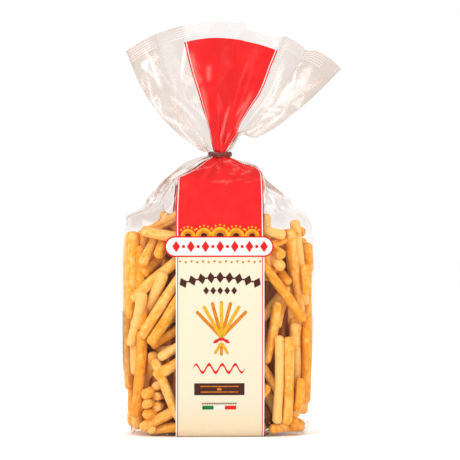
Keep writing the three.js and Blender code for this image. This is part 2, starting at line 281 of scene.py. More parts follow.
def facets(across, up, size, rng):
    """A crumpled sheet of flat triangles of about a given size: its height, from -1 to 1, and a shade of each
    triangle's own, from 0 to 1."""
    bend = 0.3 * size
    x = across + bend * np.sin(up / size * 1.7 + rng.uniform(0, 6))
    y = up + bend * np.sin(across / size * 1.3 + rng.uniform(0, 6))
    turn = rng.uniform(0, pi)
    u = (x * cos(turn) + y * sin(turn)) / size
    v = (y * cos(turn) - x * sin(turn)) / size
    skew = (u + v) * 0.366
    i, k = np.floor(u + skew).astype(int), np.floor(v + skew).astype(int)
    a, b = u + skew - i, v + skew - k
    count = 61
    corners = rng.uniform(-1, 1, (count, count))
    shades = rng.random((count, count, 2))
    lower = a > b
    near = corners[i % count, k % count]
    side = np.where(lower, corners[(i + 1) % count, k % count], corners[i % count, (k + 1) % count])
    far = corners[(i + 1) % count, (k + 1) % count]
    height = near + (side - near) * np.maximum(a, b) + (far - side) * np.minimum(a, b)
    return height, shades[i % count, k % count, lower.astype(int)]


def patches(across, up, size, rng):
    """Smooth patches from 0 to 1, with a given size."""
    total = np.zeros_like(across)
    for _ in range(4):
        turn = rng.uniform(0, TURN)
        along = across * cos(turn) + up * sin(turn)
        total += np.sin(along / size * rng.uniform(1.5, 3) + rng.uniform(0, 6))
    return smooth(total, -1.5, 1.5)


# The form of the bag

def profile_slopes():
    rise = np.diff(PROFILE[:, 1:], axis=0) / np.diff(PROFILE[:, :1], axis=0)
    below, above = rise[:-1], rise[1:]
    same = below * above > 0
    inner = np.where(same, 2 * below * above / np.where(same, below + above, 1), 0)
    return np.vstack([np.zeros(3), inner, np.zeros(3)])


SLOPES = profile_slopes()


def section_at(height):
    """Half width, half depth and squareness of the filled bag at a height."""
    i = int(np.clip(np.searchsorted(PROFILE[:, 0], height, side="right") - 1, 0, len(PROFILE) - 2))
    span = PROFILE[i + 1, 0] - PROFILE[i, 0]
    t = (height - PROFILE[i, 0]) / span
    on_rows = blend(PROFILE[i, 1:], PROFILE[i + 1, 1:], t * t * (3 - 2 * t))
    return on_rows + span * t * (1 - t) * ((1 - t) * SLOPES[i] - t * SLOPES[i + 1])


def quarter_of(width, depth, square):
    """A quarter of a section as a walk from the middle of the front to the middle of the side."""
    turn = np.linspace(0, pi / 2, 121)
    across = width * np.sin(turn) ** (2 / square)
    back = depth * np.maximum(np.cos(turn), 0) ** (2 / square)
    walked = np.concatenate([[0], np.cumsum(np.hypot(np.diff(across), np.diff(back)))])
    return across, back, walked


# How far it is along the film from the middle of the front to the middle of a side, and of the back
QUARTER = quarter_of(*section_at(110))[2][-1]
HALF_ROUND = 2 * QUARTER
BAND_SHARE = BAND_HALF / QUARTER


def quadrant(s):
    """The share of the quarter's film from its middle of front or back, and the signs of right and back."""
    quarters = np.abs(s) / QUARTER
    back = quarters > 1
    return np.where(back, 2 - quarters, quarters), np.where(s < 0, -1, 1), np.where(back, 1, -1)


def by_side(right, at, rows):
    """Reads rows of a place and the numbers for left and right there."""
    places, left_numbers, right_numbers = np.array(rows).T
    return np.where(right < 0, np.interp(at, places, left_numbers), np.interp(at, places, right_numbers))


def gathered(share, right, length, height):
    """Where film comes to lie on a section that is shorter than it: the printed band keeps its width as long
    as it can, and the clear film beside it is gathered."""
    band = np.minimum(BAND_HALF, length * by_side(right, height, BAND_ROOM))
    wing = band + (length - band) * (share - BAND_SHARE) / (1 - BAND_SHARE)
    return np.where(share < BAND_SHARE, band * share / BAND_SHARE, wing)


def middle_at(height, share=1.0):
    """Where the middle of a section lies. The clear film slumps to the left, and the printed band doesn't."""
    slump = SHOULDER_SLUMP * within(height, 185, 203, 203, 216)
    return NECK_SHIFT * smooth(height, 165, NECK_HEIGHT) - slump * smooth(share, BAND_SHARE, 0.65)


def body_row(s, height):
    share, right, back = quadrant(s)
    across, deep, walked = quarter_of(*section_at(height))
    distance = gathered(share, right, walked[-1], height)
    shoulder = within(height, 178, 205, 206, NECK_HEIGHT - 4)
    fold = 0.05 * shoulder * smooth(share, 0.25, 0.5) * (1 - np.cos(s / QUARTER * pi * 5))
    bulge = np.where(right < 0, bell(height, *LEFT_BULGE), 0)
    dent = smooth(share, 0.35, 0.75) * (bulge + bell(height, *SHOULDER_DENT))
    x = np.interp(distance, walked, across) * (1 - fold) + dent
    y = np.interp(distance, walked, deep) * (1 - fold)
    return joined(middle_at(height, share) + right * x, back * y, height)


def folded(share, right, back, band):
    """Where the film of the fan lies, as a share of the half fan, and how far it is on the way in from the
    bag's corner. band is the share that the printed band takes up."""
    place = np.zeros_like(share)
    inner = np.zeros_like(share)
    wing = np.maximum(share - BAND_SHARE, 0) / (1 - BAND_SHARE)
    for (side, face), (corner, end) in FOLDS.items():
        here = ((right > 0) == (side == "right")) & ((back > 0) == (face == "back"))
        place = np.where(here, np.interp(wing, (0, corner, 1), (0, 1, end)), place)
        inner = np.where(here, np.interp(wing, (corner, 1), (0, 1)), inner)
    return np.where(share < BAND_SHARE, band * share / BAND_SHARE, band + (1 - band) * place), inner


def fan_row(s, radius):
    share, right, back = quadrant(s)
    width, depth, square = section_at(NECK_TOP)
    around, deep, walked = quarter_of(width, depth, square)
    distance = gathered(share, right, walked[-1], NECK_TOP)
    at_x = np.interp(distance, walked, around)
    at_y = np.interp(distance, walked, deep)
    opened = smooth(radius, 0, 18)
    flare = np.where(right < 0, LEFT_FLARE, RIGHT_FLARE)
    reach = np.where(right < 0, LEFT_REACH, RIGHT_REACH)
    spread = FAN_SPREAD + flare * (1 - radius / FAN_LENGTH) ** 1.2
    spread = np.where(right < 0, spread, blend(TUCKED_ANGLE, spread, smooth(radius, *TUCKED)))
    place, inner = folded(share, right, back, by_side(right, radius, BAND_ANGLES) / spread)
    across = right * place
    angle = np.radians(FAN_LEAN * smooth(radius, 0, 20) + across * spread)
    cut = np.interp(across, *np.array(CUT_EDGE).T) * smooth(radius, PRINT_TOP - 2, FAN_LENGTH - 4)
    length = radius * (1 + reach * across ** 2) + cut
    stem = right * blend(at_x, width * place, opened) * (1 - smooth(radius, 0, 30))
    wave = FAN_WAVE_HEIGHT * blend(0.45, 1, smooth(np.abs(across), 0.3, 0.6)) * smooth(radius, 6, 60)
    wave = wave * blend(1, 0.7, smooth(radius, 70, FAN_LENGTH))
    wave = wave * np.sin(across * pi * FAN_WAVES + 0.6)
    apart = 1 - 0.9 * smooth(radius, SEAL_START - 12, SEAL_START)
    half = apart * blend(at_y, FAN_THICKNESS / 2 * (1 - 0.9 * across ** 4), opened)
    y = back * half * (1 - inner) + wave
    return joined(NECK_SHIFT + stem + length * np.sin(angle), y, NECK_TOP + length * np.cos(angle))


# The film as a grid

def columns_of_film():
    marks = [0, BAND_HALF, QUARTER, HALF_ROUND - BAND_HALF, HALF_ROUND]
    half = [0.0]
    for start, end in zip(marks, marks[1:]):
        count = round((end - start) / COLUMN)
        half += list(start + (end - start) * np.arange(1, count + 1) / count)
    return np.array([-x for x in half[:0:-1]] + half)


def rows_of_film():
    def spread(start, end, pitch):
        return np.linspace(start, end, round((end - start) / pitch) + 1)

    body = spread(0, NECK_TOP, ROW)
    fan = spread(0, PRINT_TOP, ROW)[1:]
    seal = spread(PRINT_TOP, FAN_LENGTH, RIB_ROW)[1:]
    return np.concatenate([body, NECK_TOP + fan, NECK_TOP + seal])


def pleat_middles(count, rng):
    for i in range(count):
        yield (i + rng.uniform(0.15, 0.85)) / count * 2 * HALF_ROUND - HALF_ROUND


def way_round(s, middle):
    """How far apart two places lie on the way round the bag."""
    return np.abs((s - middle + HALF_ROUND) % (2 * HALF_ROUND) - HALF_ROUND)


def shoulder_pleats(s, height, rng):
    """How deep the pleats of the shoulders draw the film in, in valleys that widen up to the neck."""
    total = np.zeros_like(s)
    limit = 0.2 * np.array([section_at(min(h, NECK_TOP))[1] for h in height[:, 0]])[:, None]
    for middle in pleat_middles(SHOULDER_PLEATS, rng):
        on_band = quadrant(np.array(middle))[0] * QUARTER < BAND_HALF + 4
        start = rng.uniform(204, 212) if on_band else rng.uniform(166, 203)
        drift = rng.uniform(-0.25, 0.25)
        steep = rng.uniform(0.12, 0.34)
        above = np.maximum(height - start, 0)
        valley = tent(way_round(s, middle + drift * above), 3 + 0.14 * above)
        total += np.minimum(steep * above, limit * rng.uniform(0.5, 1)) * valley
    return total


def fan_pleats(s, radius, rng):
    """Ridges and valleys that run out from the neck and die away."""
    total = np.zeros_like(s)
    for middle in pleat_middles(FAN_PLEATS, rng):
        end = rng.uniform(25, 90)
        height = rng.choice([-1, 1]) * rng.uniform(0.5, 1.5)
        ridge = tent(way_round(s, middle), 4 + 0.05 * radius)
        total += height * ridge * within(radius, 0, 10, end - 25, end)
    return total


def creases_and_painted_highlights(s, height, rng):
    """How white the film is with creases and painted highlights, from 0 to 1: straight lines that fade out at
    both ends, partly whitened creases and partly painted highlights, and on the clear wings a few small facets
    of painted highlight too."""
    on_print = quadrant(s)[0] < BAND_SHARE
    seal = NECK_TOP + SEAL_START
    loose = within(height, 176, 186, seal - 6, seal - 3)
    rare = np.where(height < NECK_TOP, 0.84, 0.97)
    # Small facets of the clear wings, whitened as painted highlights
    total = 0.8 * (facets(s, height, HIGHLIGHT_FACET, rng)[1] > rare) * loose * ~on_print
    for count, printed, heights, leans, lengths, width in CREASES_AND_HIGHLIGHTS:
        for _ in range(count):
            middle = rng.uniform(0.02, 0.98) if printed else rng.uniform(1.05, 3)
            away = middle * BAND_HALF * rng.choice([-1, 1])
            at = away if rng.random() < 0.5 else math.copysign(HALF_ROUND, away) - away
            lean = radians(rng.uniform(*leans))
            half = rng.uniform(*lengths) / 2
            across, up = s - at, height - rng.uniform(*heights)
            along = across * sin(lean) + up * cos(lean)
            aside = across * cos(lean) - up * sin(lean)
            line = tent(np.abs(aside), width) * rng.uniform(0.4, 1)
            line *= (1 - smooth(np.abs(along), 0.5 * half, half)) * (on_print == printed)
            total = np.maximum(total, line)
    return total


def crumple(s, height, rng):
    """How far the film stands out from its form, and its shade, from 0 where it is tight and clear up to 1.
    The shade is partly the film's own tint and partly painted shade of its facets, and on the printed band it
    is painted shade of its folds.
    """
    share = quadrant(s)[0]
    from_band = share * QUARTER - BAND_HALF
    clear = smooth(from_band, 0, 8)
    low = 1 - smooth(height, *LOOSE_FROM)
    fan = smooth(height, NECK_TOP - 6, NECK_TOP + 12)
    seal = smooth(height, NECK_TOP + SEAL_START - 8, NECK_TOP + SEAL_START)
    shoulder = (1 - low) * (1 - fan)
    beside = smooth(share, 0.5, 0.85)
    corner = beside * (1 - smooth(height, 20, 60))
    window = low * clear * (0.35 + 0.1 * beside + 0.7 * corner)
    below_tie = smooth(height, 194, 206)
    size = window + shoulder * blend(0.2 + 1.2 * below_tie, 1.9, clear)
    size += fan * (1 - 0.8 * seal) * blend(0.9, 1.5, clear)
    size += low * (1 - clear) * 0.08
    broad, broad_shade = facets(s, height, BROAD_FACET, rng)
    fine, fine_shade = facets(s, height, FINE_FACET, rng)
    mask = patches(s, height, PATCH, rng)
    out = size * (1.25 * broad + 0.5 * fine * mask)
    loose = (1 - low) * blend(1, 0.5, seal)
    # The loose film's shade: partly its own tint, partly painted shade that differs from facet to facet
    shade = loose * blend(0.15 + 0.95 * broad_shade ** 1.3, 0.6 + 0.22 * broad_shade, fan)
    shade += loose * blend(0.35, 0.12, fan) * (fine_shade - 0.4) * mask + 0.45 * seal
    shade = np.clip(shade, 0, 1.2) * (1 - 0.9 * fan * smooth(share, 0.66, 0.76))
    # On the printed band the shade is painted shade of its folds, below the tie and in the fan
    on_print = 0.8 * smooth(height, 197, 209) * (fine_shade * (1 - fan) + 0.55 * broad_shade * fan)
    shade = blend(on_print, shade, smooth(from_band, -2, 0))
    shade += low * corner * 0.35 * fine_shade
    return np.where(low > 0.5, np.maximum(out, -0.3), out), shade


def unit(vectors):
    return vectors / np.maximum(np.linalg.norm(vectors, axis=-1, keepdims=True), 1e-9)


def normals_of(points):
    along = np.gradient(points, axis=1)
    along[:, 0] = along[:, -1] = points[:, 1] - points[:, -2]
    return unit(np.cross(along, np.gradient(points, axis=0)))


def film_points(columns, rows):
    """The points of the grid, and the shade and the creases with painted highlights at each."""
    rng = np.random.default_rng(SEED)
    points = np.array([body_row(columns, h) if h <= NECK_TOP else fan_row(columns, h - NECK_TOP)
                       for h in rows])
    s, height = np.meshgrid(columns, rows)
    radius = np.maximum(height - NECK_TOP, 0)
    drawn = np.where(height > NECK_TOP, 0, shoulder_pleats(s, height, rng))
    outwards = unit(points * (1, 1, 0) - joined(middle_at(height), 0, 0))
    points -= outwards * drawn[..., None]
    points[..., 1] += fan_pleats(s, radius, rng)
    out, shade = crumple(s, height, rng)
    out[:, -1] = out[:, 0]
    points += normals_of(points) * out[..., None]
    ribs = within(radius, SEAL_START - 1, SEAL_START + 1, FAN_LENGTH - 1.5, FAN_LENGTH - 0.5)
    points[..., 1] += RIB_HEIGHT * ribs * np.sin(radius / RIB_PITCH * TURN)
    points[..., 2] = np.maximum(points[..., 2], 0.05)
    points[:, -1] = points[:, 0]
    return points, shade, creases_and_painted_highlights(s, height, rng)


class Film:
    """The grid of the film: its points, shades, creases with painted highlights, and normals, and the place of
    any s and h on it.
    """

    def __init__(self):
        self.columns = columns_of_film()
        self.rows = rows_of_film()
        self.points, self.shade, self.crease_and_painted_highlight = film_points(self.columns, self.rows)
        self.normals = normals_of(self.points)

    def at(self, s, height, lift=0.0):
        """Points on the film, lifted off it by a small distance."""
        i = np.clip(np.searchsorted(self.rows, height, side="right") - 1, 0, len(self.rows) - 2)
        k = np.clip(np.searchsorted(self.columns, s, side="right") - 1, 0, len(self.columns) - 2)
        up = ((height - self.rows[i]) / (self.rows[i + 1] - self.rows[i]))[:, None]
        along = ((s - self.columns[k]) / (self.columns[k + 1] - self.columns[k]))[:, None]

        def mixed(grid):
            low = blend(grid[i, k], grid[i, k + 1], along)
            high = blend(grid[i + 1, k], grid[i + 1, k + 1], along)
            return blend(low, high, up)

        return mixed(self.points) + mixed(self.normals) * lift


# Meshes

def grid_faces(rows, columns):
    first = (np.arange(rows - 1)[:, None] * columns + np.arange(columns - 1)).ravel()
    return joined(first, first + 1, first + columns + 1, first + columns)


def tube_faces(rows, around):
    """The faces of a tube with closed ends, as a grid whose last column repeats the first."""
    ring = np.arange(around)
    return [*grid_faces(rows, around + 1), ring[::-1], (rows - 1) * (around + 1) + ring]


def put(name, data):
    made = bpy.data.objects.new(name, data)
    bpy.context.scene.collection.objects.link(made)
    return made


def make_piece(name, points, faces, material, uv=None, floats=None):
    """A smooth mesh that rides on the body. uv and floats hold a value for each point."""
    mesh = bpy.data.meshes.new(name)
    places = (np.reshape(points, (-1, 3)) * MM).tolist()
    mesh.from_pydata(places, [], [list(map(int, face)) for face in faces])
    mesh.shade_smooth()
    if uv is not None:
        layer = mesh.uv_layers.new(name="Flat")
        corners = np.zeros(len(mesh.loops), np.int32)
        mesh.loops.foreach_get("vertex_index", corners)
        layer.data.foreach_set("uv", np.reshape(uv, (-1, 2)).astype(np.float32)[corners].ravel())
    for key, values in (floats or {}).items():
        attribute = mesh.attributes.new(key, "FLOAT", "POINT")
        attribute.data.foreach_set("value", np.ravel(values).astype(np.float32))
    mesh.materials.append(material)
    made = put(name, mesh)
    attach(made, "root")
    return made


# Materials

class Recipe:
    """A material while it is made up of nodes. Most methods add a node and give its output."""

    def __init__(self, name):
        self.material = bpy.data.materials.new(name)
        self.material.use_nodes = True
        self.tree = self.material.node_tree
        self.tree.nodes.clear()

    def node(self, kind, inputs=None, **settings):
        made = self.tree.nodes.new("ShaderNode" + kind)
        for key, value in settings.items():
            setattr(made, key, value)
        for key, value in (inputs or {}).items():
            if isinstance(value, bpy.types.NodeSocket):
                self.tree.links.new(value, made.inputs[key])
            else:
                made.inputs[key].default_value = value
        return made.outputs

    def calc(self, operation, *values):
        return self.node("Math", dict(enumerate(values)), operation=operation)[0]

    def times(self, first, second):
        return self.calc("MULTIPLY", first, second)

    def line(self, value, slope, start):
        """A value times a slope, plus a start."""
        return self.calc("MULTIPLY_ADD", value, slope, start)

    def swing(self, value, size, start):
        """A value of 0 to 1 as a swing of a given size about a start."""
        return self.line(self.calc("SUBTRACT", value, 0.5), size, start)

    def ramp(self, value, low, high):
        """From 0 to 1 as a value goes from low to high."""
        limits = {"Value": value, "From Min": low, "From Max": high}
        return self.node("MapRange", limits, interpolation_type="SMOOTHSTEP")[0]

    def mix(self, share, first, second):
        return self.node("Mix", {0: share, 6: first, 7: second}, data_type="RGBA")[2]

    def mix_shaders(self, share, first, second):
        return self.node("MixShader", {0: share, 1: first, 2: second})[0]

    def noise(self, vector, scale, detail=2.0, distortion=0.0):
        inputs = {"Vector": vector, "Scale": scale, "Detail": detail, "Distortion": distortion}
        return self.node("TexNoise", inputs)["Fac"]

    def bump(self, height, strength, distance):
        return self.node("Bump", {"Height": height, "Strength": strength, "Distance": distance})[0]

    def value(self, name):
        """What a mesh holds at each point under a name."""
        return self.node("Attribute", attribute_name=name)["Fac"]

    def flat_place(self):
        return self.node("UVMap", uv_map="Flat")[0]

    def place(self):
        return self.node("TexCoord")["Object"]

    def surface(self, colour, roughness, **others):
        inputs = {key.replace("_", " "): value for key, value in others.items()}
        return self.node("BsdfPrincipled", {"Base Color": colour, "Roughness": roughness, **inputs})[0]

    def ending(self, shader):
        self.node("OutputMaterial", {"Surface": shader})
        return self.material


def film_material():
    """Clear film, which tints what lies behind it, more where it is crumpled. The tint is partly the film's
    own and partly painted shade that differs from facet to facet.
    """
    m = Recipe("clear_film")
    place = m.flat_place()
    shade = m.value("shade")
    ripple = m.bump(m.noise(place, 12.0, 1.0, 0.6), 0.22, 0.0008)
    up = m.node("SeparateXYZ", {0: place})[1]
    seal = NECK_TOP + SEAL_START
    sealed = m.ramp(up, (seal - 0.6) / FLAT_UNIT, (seal + 0.2) / FLAT_UNIT)
    ribs = m.calc("SINE", m.times(up, FLAT_UNIT / RIB_PITCH * TURN))
    pressed = m.ramp(m.noise(place, 2.2), 0.42, 0.6)
    ribs = m.times(m.times(m.ramp(ribs, 0.3, 0.9), sealed), pressed)
    # The tint is partly the film's own and partly painted shade that differs from facet to facet
    tint = m.mix(shade, (0.988, 0.976, 0.967, 1), (0.885, 0.826, 0.79, 1))
    clear = m.node("BsdfTransparent", {"Color": tint})[0]
    shine = m.surface((0.96, 0.95, 0.94, 1), 0.17, Metallic=1.0, Normal=ripple)
    haze = m.surface((0.93, 0.9, 0.88, 1), 0.35, Normal=ripple)
    cloudy = m.ramp(m.noise(place, 3.2, 3.0, 0.4), 0.45, 0.75)
    milky = m.line(m.times(cloudy, shade), 0.09, 0.002)
    # Whitened creases and painted highlights make the film milky white there
    milky = m.line(m.value("crease_and_painted_highlight"), 0.8, milky)
    clouded = m.mix_shaders(m.line(ribs, 0.3, milky), clear, haze)
    glance = m.node("LayerWeight", {"Blend": 0.5, "Normal": ripple})["Facing"]
    in_fan = m.ramp(up, NECK_TOP / FLAT_UNIT, (NECK_TOP + 15) / FLAT_UNIT)
    at_edge = m.line(m.calc("MAXIMUM", in_fan, m.times(shade, 0.75)), -0.23, 0.26)
    gloss = m.line(m.calc("POWER", glance, 4.0), at_edge, m.line(shade, 0.014, 0.007))
    return m.ending(m.mix_shaders(gloss, clouded, shine))


RED = linear(214, 8, 16)
CREAM = linear(214, 206, 181)
PEACH = linear(221, 196, 161)
WHITE = linear(222, 220, 217)
RED_FROM = 157.6
LINE = (33, 33.75)


def print_material():
    """The printed band: red above and cream below, with a fine line inside each edge, painted shade on its
    folds and painted highlights on its creases.
    """
    m = Recipe("printed_film")
    place = m.flat_place()
    across, up, _ = m.node("SeparateXYZ", {0: place})
    side = m.calc("ABSOLUTE", across)
    is_red = m.calc("GREATER_THAN", up, RED_FROM / FLAT_UNIT)
    peach = m.calc("SUBTRACT", 1.0, m.ramp(up, 0.02, 0.34))
    field = m.mix(is_red, m.mix(m.times(peach, 0.75), CREAM, PEACH), RED)
    past_line = [m.calc("GREATER_THAN", side, limit / FLAT_UNIT) for limit in LINE]
    colour = m.mix(past_line[0], field, m.mix(is_red, RED, WHITE))
    colour = m.mix(past_line[1], colour, m.mix(is_red, WHITE, RED))
    worn = m.noise(place, 9.0, 4.0)
    colour = m.mix(m.times(worn, 0.05), colour, (0.6, 0.3, 0.2, 1))
    # Painted shade on the folds of the print
    colour = m.mix(m.times(m.value("shade"), 0.45), colour, (0.28, 0.0, 0.002, 1))
    # Painted highlights on the print: lighter red along its creases and broad streaks
    colour = m.mix(m.times(m.value("crease_and_painted_highlight"), 0.42), colour, (0.9, 0.28, 0.22, 1))
    ripple = m.bump(m.noise(place, 26.0, 3.0, 0.5), 0.2, 0.0005)
    return m.ending(m.surface(colour, m.line(worn, 0.12, 0.2), Normal=ripple, Specular_IOR_Level=0.2))


def ink_material(name, colour, shade):
    """One printed ink, a little uneven."""
    m = Recipe("ink_" + name)
    uneven = m.ramp(m.noise(m.flat_place(), 40.0, 3.0), 0.35, 0.7)
    return m.ending(m.surface(m.mix(uneven, linear(*colour), linear(*shade)), 0.28, Specular_IOR_Level=0.2))


def bread_material():
    """Golden crust: paler on some sticks, browner on others and at their ends, darker in the splits as painted
    shade, with fine wrinkles.
    """
    m = Recipe("crust")
    place = m.place()
    mottle = m.noise(place, 260.0, 4.0, 0.5)
    speckle = m.noise(place, 900.0, 3.0)
    stretched = m.node("Mapping", {"Vector": m.flat_place(), "Scale": (1.0, 0.2, 1.0)})[0]
    grain = m.noise(stretched, 5.0, 4.0, 0.6)
    level = m.swing(grain, 0.9, m.swing(mottle, 1.3, m.value("tone")))
    baked = m.node("ValToRGB", {0: level})[0]
    stops = baked.node.color_ramp.elements
    stops[0].position = 0.1
    stops[0].color = linear(240, 188, 106)
    stops[1].position = 0.95
    stops[1].color = linear(214, 120, 16)
    stops.new(0.5).color = linear(235, 157, 40)
    # The crust darkens with its browning, and with painted shade in the splits
    dark = m.ramp(m.swing(speckle, 0.5, m.value("browning_and_split_shade")), 0.25, 1.0)
    colour = m.mix(m.times(dark, 0.85), baked, linear(176, 88, 30))
    relief = m.bump(m.line(grain, 0.7, m.times(speckle, 0.35)), 0.7, 0.001)
    return m.ending(m.surface(colour, 0.62, Specular_IOR_Level=0.3, Normal=relief))


def core_material():
    """What shows in the deepest gaps: more breadsticks painted as in shade, as long cells with a line of
    painted shade round each.
    """
    m = Recipe("crust_in_shade")
    place = m.place()
    turned = m.node("Mapping", {"Vector": place, "Rotation": (0.3, 0.25, 0.0), "Scale": (1.0, 1.0, 0.16)})[0]
    cells = m.node("TexVoronoi", {"Vector": turned, "Scale": 95.0}, feature="DISTANCE_TO_EDGE")
    round_stick = m.ramp(cells["Distance"], 0.0, 0.32)
    level = m.times(round_stick, m.line(m.noise(place, 260.0, 3.0), 0.8, 0.5))
    # Painted shade: dark brown at the edges of the cells, golden at their middles
    colour = m.mix(level, linear(128, 62, 24), linear(236, 152, 66))
    return m.ending(m.surface(colour, 0.8, Normal=m.bump(round_stick, 0.9, 0.003)))


def tie_material():
    """Dark brown plastic ribbon with a faint sheen."""
    m = Recipe("brown_ribbon")
    uneven = m.noise(m.place(), 600.0, 3.0)
    colour = m.mix(m.ramp(uneven, 0.3, 0.7), linear(78, 26, 18), linear(118, 44, 30))
    return m.ending(m.surface(colour, 0.38, Normal=m.bump(uneven, 0.3, 0.0002)))


# The film's pieces

def film_piece(name, film, rows, columns, material, flat_zero):
    """The part of the grid from one row and column to another. Its flat place is measured from flat_zero."""
    part = slice(rows[0], rows[1] + 1), slice(columns[0], columns[1] + 1)
    s, height = np.meshgrid(film.columns[part[1]], film.rows[part[0]])
    flat = joined(s - flat_zero, height) / FLAT_UNIT
    floats = {"shade": film.shade[part], "crease_and_painted_highlight": film.crease_and_painted_highlight[part]}
    return make_piece(name, film.points[part], grid_faces(*s.shape), material, flat, floats)


def nearest(places, wanted):
    return int(np.argmin(np.abs(places - wanted)))


def make_film(film, clear, printed):
    top = nearest(film.rows, NECK_TOP + PRINT_TOP)
    end = len(film.rows) - 1
    edge = HALF_ROUND - BAND_HALF
    edges = [nearest(film.columns, s) for s in (-HALF_ROUND, -edge, -BAND_HALF, BAND_HALF, edge, HALF_ROUND)]
    back_left, left, front, right, back_right = zip(edges, edges[1:])
    pieces = [film_piece(name, film, rows, columns, clear, 0) for name, rows, columns in (
        ("film_left", (0, end), left),
        ("film_right", (0, end), right),
        ("film_front_top", (top, end), front),
        ("film_back_top_left", (top, end), back_left),
        ("film_back_top_right", (top, end), back_right),
    )]
    for name, columns, flat_zero in (("print_front", front, 0), ("print_back_left", back_left, -HALF_ROUND),
                                     ("print_back_right", back_right, HALF_ROUND)):
        film_piece(name, film, (0, top), columns, printed, flat_zero)
    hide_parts("bag")


def make_base(film, clear):
    """The flat bottom: the first ring of the film drawn in to the middle, with folded corners."""
    shares = np.linspace(1, 0.02, 12)
    points = film.points[0] * joined(shares, shares, 0)[:, None]
    from_fold = np.abs(np.abs(points[..., 0]) - 38 + np.abs(points[..., 1]) * 0.9)
    points[..., 2] = 0.06 + 0.5 * tent(from_fold, 2.5) * (shares < 0.99)[:, None]
    faces = grid_faces(*points.shape[:2])[:, ::-1]
    make_piece("film_base", points, faces, clear, points[..., :2] / FLAT_UNIT)


def make_fin(film, printed):
    """The seam down the back: a narrow fin folded flat on the film, up to the shoulders."""
    heights = np.linspace(1, 196, 100)
    across = np.array([0, 0.6, 2, 4, 6, 8, 9.6, 10])
    lift = np.array([0.1, 0.7, 0.9, 0.8, 0.7, 0.6, 0.5, 0.15])
    points = np.array([film.at(HALF_ROUND - across, np.full_like(across, height)) for height in heights])
    points[..., 1] += lift + 0.15 * np.sin(heights[:, None] / 9 + across / 3)
    flat = joined(-across, heights[:, None]) / FLAT_UNIT
    make_piece("back_seam", points, grid_faces(*points.shape[:2])[:, ::-1], printed, flat)


# Breadsticks

def into_bag(point, inset):
    """Moves a point straight towards the upright axis until it lies a given distance behind the film."""
    height = float(np.clip(point[2], THICKEST + FILM_GAP, FILL_HEIGHT))
    width, depth, square = section_at(height)
    reach = (abs(point[0]) / (width - inset)) ** square + (abs(point[1]) / (depth - inset)) ** square
    pull = max(reach, 1) ** (-1 / square)
    return np.array([point[0] * pull, point[1] * pull, height])


def clearance(dive):
    return THICKEST * cos(radians(dive)) + FILM_GAP


def lay_stick(at, lean, dive, length):
    """The two ends of a breadstick at a point behind the film, turned to its lean and dive."""
    width, depth, square = section_at(at[2])
    outwards = np.array([
        math.copysign((abs(at[0]) / width) ** (square - 1) / width, at[0]),
        math.copysign((abs(at[1]) / depth) ** (square - 1) / depth, at[1]),
        0.0,
    ])
    outwards /= np.linalg.norm(outwards)
    sideways = np.cross((0, 0, 1), outwards)
    inset = clearance(dive)
    lean, dive = radians(lean), radians(dive)
    along = (sideways * sin(lean) + np.array([0, 0, cos(lean)])) * cos(dive)
    along -= outwards * sin(dive)
    middle = at + along * sin(dive) * length / 2
    return [into_bag(middle + along * length * share, inset) for share in (-0.5, 0.5)]


def front_point(x, height, inset):
    width, depth, square = section_at(height)
    across = float(np.clip(x / (width - inset), -0.985, 0.985))
    back = (depth - inset) * (1 - abs(across) ** square) ** (1 / square)
    return np.array([across * (width - inset), -back, height])


def behind_film(s, height, inset):
    """The point behind a place of the filled bag's film."""
    share, right, back = quadrant(np.array(s))
    width, depth, square = section_at(height)
    across, deep, walked = quarter_of(width - inset, depth - inset, square)
    distance = float(share) * walked[-1]
    x, y = np.interp(distance, walked, across), np.interp(distance, walked, deep)
    return np.array([right * x, back * y, height])


def room_beside(start, end, laid):
    """The least distance from one breadstick's axis to those already laid, from points spread along it."""
    starts, ends = np.array(laid).swapaxes(0, 1)
    mine = start + (end - start) * np.linspace(0, 1, 9)[:, None]
    theirs = ends - starts
    length = np.maximum((theirs ** 2).sum(-1), 1e-9)
    offset = mine[:, None, :] - starts
    t = np.clip((offset * theirs).sum(-1) / length, 0, 1)
    return np.linalg.norm(offset - theirs * t[..., None], axis=-1).min()


def front_sticks():
    """The breadsticks against the two sides and in the two front windows. One that would run into another is
    laid further in, until it is free or where it has the most room, and many still run into others."""
    laid = [lay_stick(behind_film(side * QUARTER, height, clearance(0)), lean, 0, STICK_LENGTH)
            for side, height, lean in SIDE_STICKS]
    wanted = sum(LEFT_WINDOW + RIGHT_WINDOW, [])
    for depth, x, z, lean, dive, length in sorted(wanted, key=lambda stick: stick[0]):
        choices = []
        for further in range(DEPTHS_TRIED):
            at = front_point(x, z, clearance(dive) + depth + further)
            ends = lay_stick(at, lean, dive, length)
            room = min(room_beside(*ends, laid), FRONT_ROOM)
            choices.append((room, -further, ends))
        laid.append(max(choices, key=lambda choice: choice[:2])[2])
    return laid


